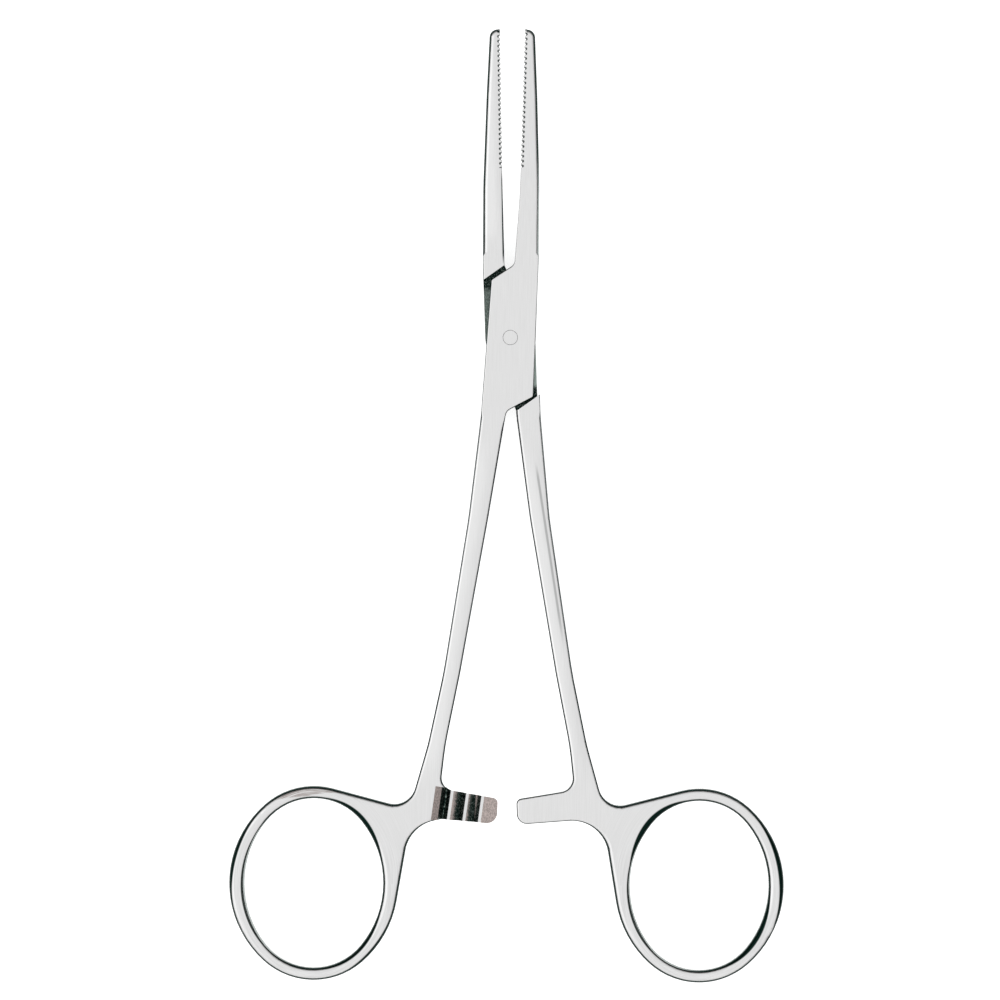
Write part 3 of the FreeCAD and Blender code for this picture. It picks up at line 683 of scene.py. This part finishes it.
def cut_ramp_stainless():
    """Ramps of the ratchet teeth: short cutter marks in a brown painted reflection, with green-black painted
    shade towards the foot of each ramp.

    The painted shade goes by the depth of the cut plus the marks, and starts sooner near the tip of the bar,
    where the last ramp has none.
    """
    sizes, colours = bpy.context.scene.forceps_sizes, bpy.context.scene.forceps_colours
    raggedness, tip_shift = 1.1 * sizes.tooth_depth, 0.18 * sizes.tooth_depth
    dark_from, dark_full = 0.75 * sizes.tooth_depth, 1.15 * sizes.tooth_depth
    shift_from, shift_full = -0.6 * sizes.bar_root, -0.35 * sizes.bar_root
    last_ramp, last_ramp_end = -sizes.last_crest, -1.1 * sizes.last_crest
    mark_low, mark_high, paleness = 0.35, 0.65, 1.6
    speck_none, speck_full, speck_strength, relief = 0.45, 0.7, 0.3, sizes.grain_width / 12
    material, tree = blank_material("cut_ramp_stainless")
    place = add(tree, "TexCoord")
    position = place.outputs["Object"]
    own = add(tree, "SeparateXYZ", {0: add(tree, "UVMap", uv_map=OWN_AXES)})
    across = own.outputs["X"]
    marks = cutter_marks(tree, position)
    raised = add(tree, "SeparateXYZ", {0: position}).outputs["Z"]
    upward = add(tree, "SeparateXYZ", {0: place.outputs["Normal"]}).outputs["Z"]
    facing = add(tree, "Math", {0: upward}, operation="SIGN")
    sunk = add(tree, "Math", {0: MID_HEIGHT, 1: raised}, operation="SUBTRACT")
    depth = add(tree, "Math", {0: sunk, 1: facing}, operation="MULTIPLY")
    near_tip = add(tree, "MapRange", {0: across, 1: shift_from, 2: shift_full, 4: tip_shift}, **SMOOTH)
    deeper = add(tree, "Math", {0: depth, 1: near_tip}, operation="ADD")
    ragged = add(tree, "Math", {0: marks, 1: raggedness}, operation="MULTIPLY")
    reached = add(tree, "Math", {0: deeper, 1: ragged}, operation="ADD")
    # Painted shade: darker with the depth of the cut.
    foot = add(tree, "MapRange", {0: reached, 1: dark_from, 2: dark_full}, **SMOOTH)
    before_tip = add(tree, "MapRange", {0: across, 1: last_ramp, 2: last_ramp_end}, **SMOOTH)
    foot = add(tree, "Math", {0: foot, 1: before_tip}, operation="MULTIPLY")
    mottled = add(tree, "MapRange", {0: marks, 1: mark_low, 2: mark_high}, **SMOOTH)
    # The brown of the ramps is a painted reflection, mottled by the cutter marks.
    pale = [min(1, value * paleness) for value in colours.tooth[:3]] + [1]
    ramp = add(tree, "Mix", {0: mottled, 6: colours.tooth, 7: pale}, data_type="RGBA")
    specks = add(tree, "MapRange", {0: marks, 1: speck_none, 2: speck_full, 4: speck_strength}, **SMOOTH)
    shaded_foot = add(tree, "Mix", {0: specks, 6: colours.milled, 7: colours.flecks}, data_type="RGBA")
    base = add(tree, "Mix", {0: foot, 6: ramp, 7: shaded_foot}, data_type="RGBA")
    finish_steel(tree, base, CUT_ROUGHNESS, marks, relief)
    return material


def finishes():
    """The three finishes of a half, in the order of their zones."""
    makers = {"satin_ground_stainless": satin_ground_stainless, "milled_shaded_stainless": milled_shaded_stainless,
              "cut_ramp_stainless": cut_ramp_stainless}
    return [bpy.data.materials.get(name) or make() for name, make in makers.items()]


def dress_half(node, name, body):
    """Put a half in its place with its finishes and broken edges."""
    mesh = merged_copy(node, name)
    for material in finishes():
        mesh.materials.append(material)
    zones(mesh, node)
    own_axes(mesh, node)
    sharp_edges(mesh, node)
    broken_edges(link(mesh, body, node))


class FORCEPS_OT_box_half(bpy.types.Operator):
    """Dress the half with the slotted box"""

    bl_idname = "forceps.box_half"
    bl_label = "Box half"

    def execute(self, context):
        dress_half("box_half", "forged_box_half", "box_half")
        return {"FINISHED"}


class FORCEPS_OT_through_half(bpy.types.Operator):
    """Dress the half whose tongue passes through the box"""

    bl_idname = "forceps.through_half"
    bl_label = "Through half"

    def execute(self, context):
        dress_half("through_half", "forged_through_half", "through_half")
        return {"FINISHED"}


class FORCEPS_OT_rivet(bpy.types.Operator):
    """Dress the hinge rivet, ground flush with the box"""

    bl_idname = "forceps.rivet"
    bl_label = "Rivet"

    def execute(self, context):
        mesh = merged_copy("pivot_pin", "flush_rivet")
        mesh.materials.append(finishes()[0])
        link(mesh, "box_half", "pivot_pin")
        return {"FINISHED"}


def white_table():
    """A matt white table that shows as pure white to the eye and in the steel, and keeps the shadow."""
    stage = bpy.context.scene.forceps_stage
    material, tree = blank_material("white_table")
    path = add(tree, "LightPath")
    seen = add(tree, "Math", {0: path.outputs["Is Camera Ray"], 1: path.outputs["Is Glossy Ray"]},
               operation="MAXIMUM")
    shown = add(tree, "Math", {0: seen, 1: path.outputs["Is Transmission Ray"]}, operation="MAXIMUM")
    lift = add(tree, "Math", {0: shown, 1: stage.table_lift}, operation="MULTIPLY")
    table = add(tree, "BsdfDiffuse", {"Color": stage.table})
    glow = add(tree, "Emission", {"Strength": lift})
    both = add(tree, "AddShader", {0: table, 1: glow})
    add(tree, "OutputMaterial", {"Surface": both})
    return material


def light_tent():
    """A tent that is bright overhead, dark round the horizon and white to the eye, with a strip at the left.

    Its strength goes by the cosine of the angle to an axis that leans over to the tent's bright side.
    """
    stage = bpy.context.scene.forceps_stage
    world = bpy.data.worlds.new("light_tent")
    bpy.context.scene.world = world
    world.use_nodes = True
    tree = world.node_tree
    tree.nodes.clear()
    direction = add(tree, "TexCoord").outputs["Generated"]
    aside = math.sin(stage.tent_lean)
    axis = (aside * math.cos(stage.tent_bearing), aside * math.sin(stage.tent_bearing),
            math.cos(stage.tent_lean))
    strip = (-math.cos(stage.strip_height), 0, math.sin(stage.strip_height))
    to_axis = add(tree, "VectorMath", {0: direction, 1: axis}, operation="DOT_PRODUCT")
    to_strip = add(tree, "VectorMath", {0: direction, 1: strip}, operation="DOT_PRODUCT")
    overhead = add(tree, "MapRange", {0: to_axis, 1: stage.dark_from, 2: stage.bright_from,
                                      3: stage.dark_light, 4: stage.sky_light}, **SMOOTH)
    beside = add(tree, "MapRange", {0: to_strip, 1: stage.strip_from, 2: stage.strip_full,
                                    4: stage.strip_light}, **SMOOTH)
    tent = add(tree, "Math", {0: overhead, 1: beside}, operation="ADD")
    eye = add(tree, "LightPath").outputs["Is Camera Ray"]
    others = add(tree, "Math", {0: 1.0, 1: eye}, operation="SUBTRACT")
    lit = add(tree, "Math", {0: tent, 1: others}, operation="MULTIPLY")
    strength = add(tree, "Math", {0: lit, 1: eye}, operation="ADD")
    glow = add(tree, "Background", {"Strength": strength})
    add(tree, "OutputWorld", {"Surface": glow})


def overhead_camera():
    """A long lens straight above, placed so that the rivet stands where the photograph has it."""
    stage = bpy.context.scene.forceps_stage
    data = bpy.data.cameras.new("overhead")
    data.lens, data.sensor_width = stage.lens, SENSOR_WIDTH
    camera = bpy.data.objects.new("overhead", data)
    bpy.context.scene.collection.objects.link(camera)
    turn = Matrix.Rotation(stage.roll, 3, "Z")
    centre = turn @ Vector((0.5 - stage.pivot_across, stage.pivot_down - 0.5, 0)) * stage.frame_width
    distance = stage.frame_width * data.lens / data.sensor_width
    camera.location = centre + Vector((0, 0, CAD_BOX[1][2] + distance))
    camera.rotation_euler = (0, 0, stage.roll)
    bpy.context.scene.camera = camera


class FORCEPS_OT_stage(bpy.types.Operator):
    """Set the white table, the light tent and the camera"""

    bl_idname = "forceps.stage"
    bl_label = "Stage"

    def execute(self, context):
        reach = context.scene.forceps_stage.table_reach
        corners = [(-reach, -reach, 0), (reach, -reach, 0), (reach, reach, 0), (-reach, reach, 0)]
        mesh = bpy.data.meshes.new("table")
        mesh.from_pydata(corners, [], [(0, 1, 2, 3)])
        mesh.materials.append(white_table())
        table = bpy.data.objects.new("table", mesh)
        context.scene.collection.objects.link(table)
        light_tent()
        overhead_camera()
        context.scene.view_settings.view_transform = "Standard"
        return {"FINISHED"}


class FORCEPS_PT_panel(bpy.types.Panel):
    """Sizes, colours and steps of the forceps"""

    bl_idname = "FORCEPS_PT_panel"
    bl_label = "Forceps"
    bl_space_type = "VIEW_3D"
    bl_region_type = "UI"
    bl_category = "Forceps"

    def draw(self, context):
        for step in STEPS:
            self.layout.operator(step.bl_idname)
        for group in SETTINGS:
            settings = getattr(context.scene, group)
            for name in settings.__annotations__:
                self.layout.prop(settings, name)


STEPS = (FORCEPS_OT_box_half, FORCEPS_OT_through_half, FORCEPS_OT_rivet, FORCEPS_OT_stage)
SETTINGS = {"forceps_sizes": ForcepsSizes, "forceps_colours": ForcepsColours, "forceps_stage": StageSettings}


def register():
    for kind in (*SETTINGS.values(), *STEPS, FORCEPS_PT_panel):
        bpy.utils.register_class(kind)
    for name, kind in SETTINGS.items():
        setattr(bpy.types.Scene, name, PointerProperty(type=kind))


def unregister():
    for name in SETTINGS:
        delattr(bpy.types.Scene, name)
    for kind in (FORCEPS_PT_panel, *STEPS, *SETTINGS.values()):
        bpy.utils.unregister_class(kind)


def main():
    register()
    bpy.ops.forceps.box_half()
    bpy.ops.forceps.through_half()
    bpy.ops.forceps.rivet()
    bpy.ops.forceps.stage()


if __name__ == "__main__":
    main()
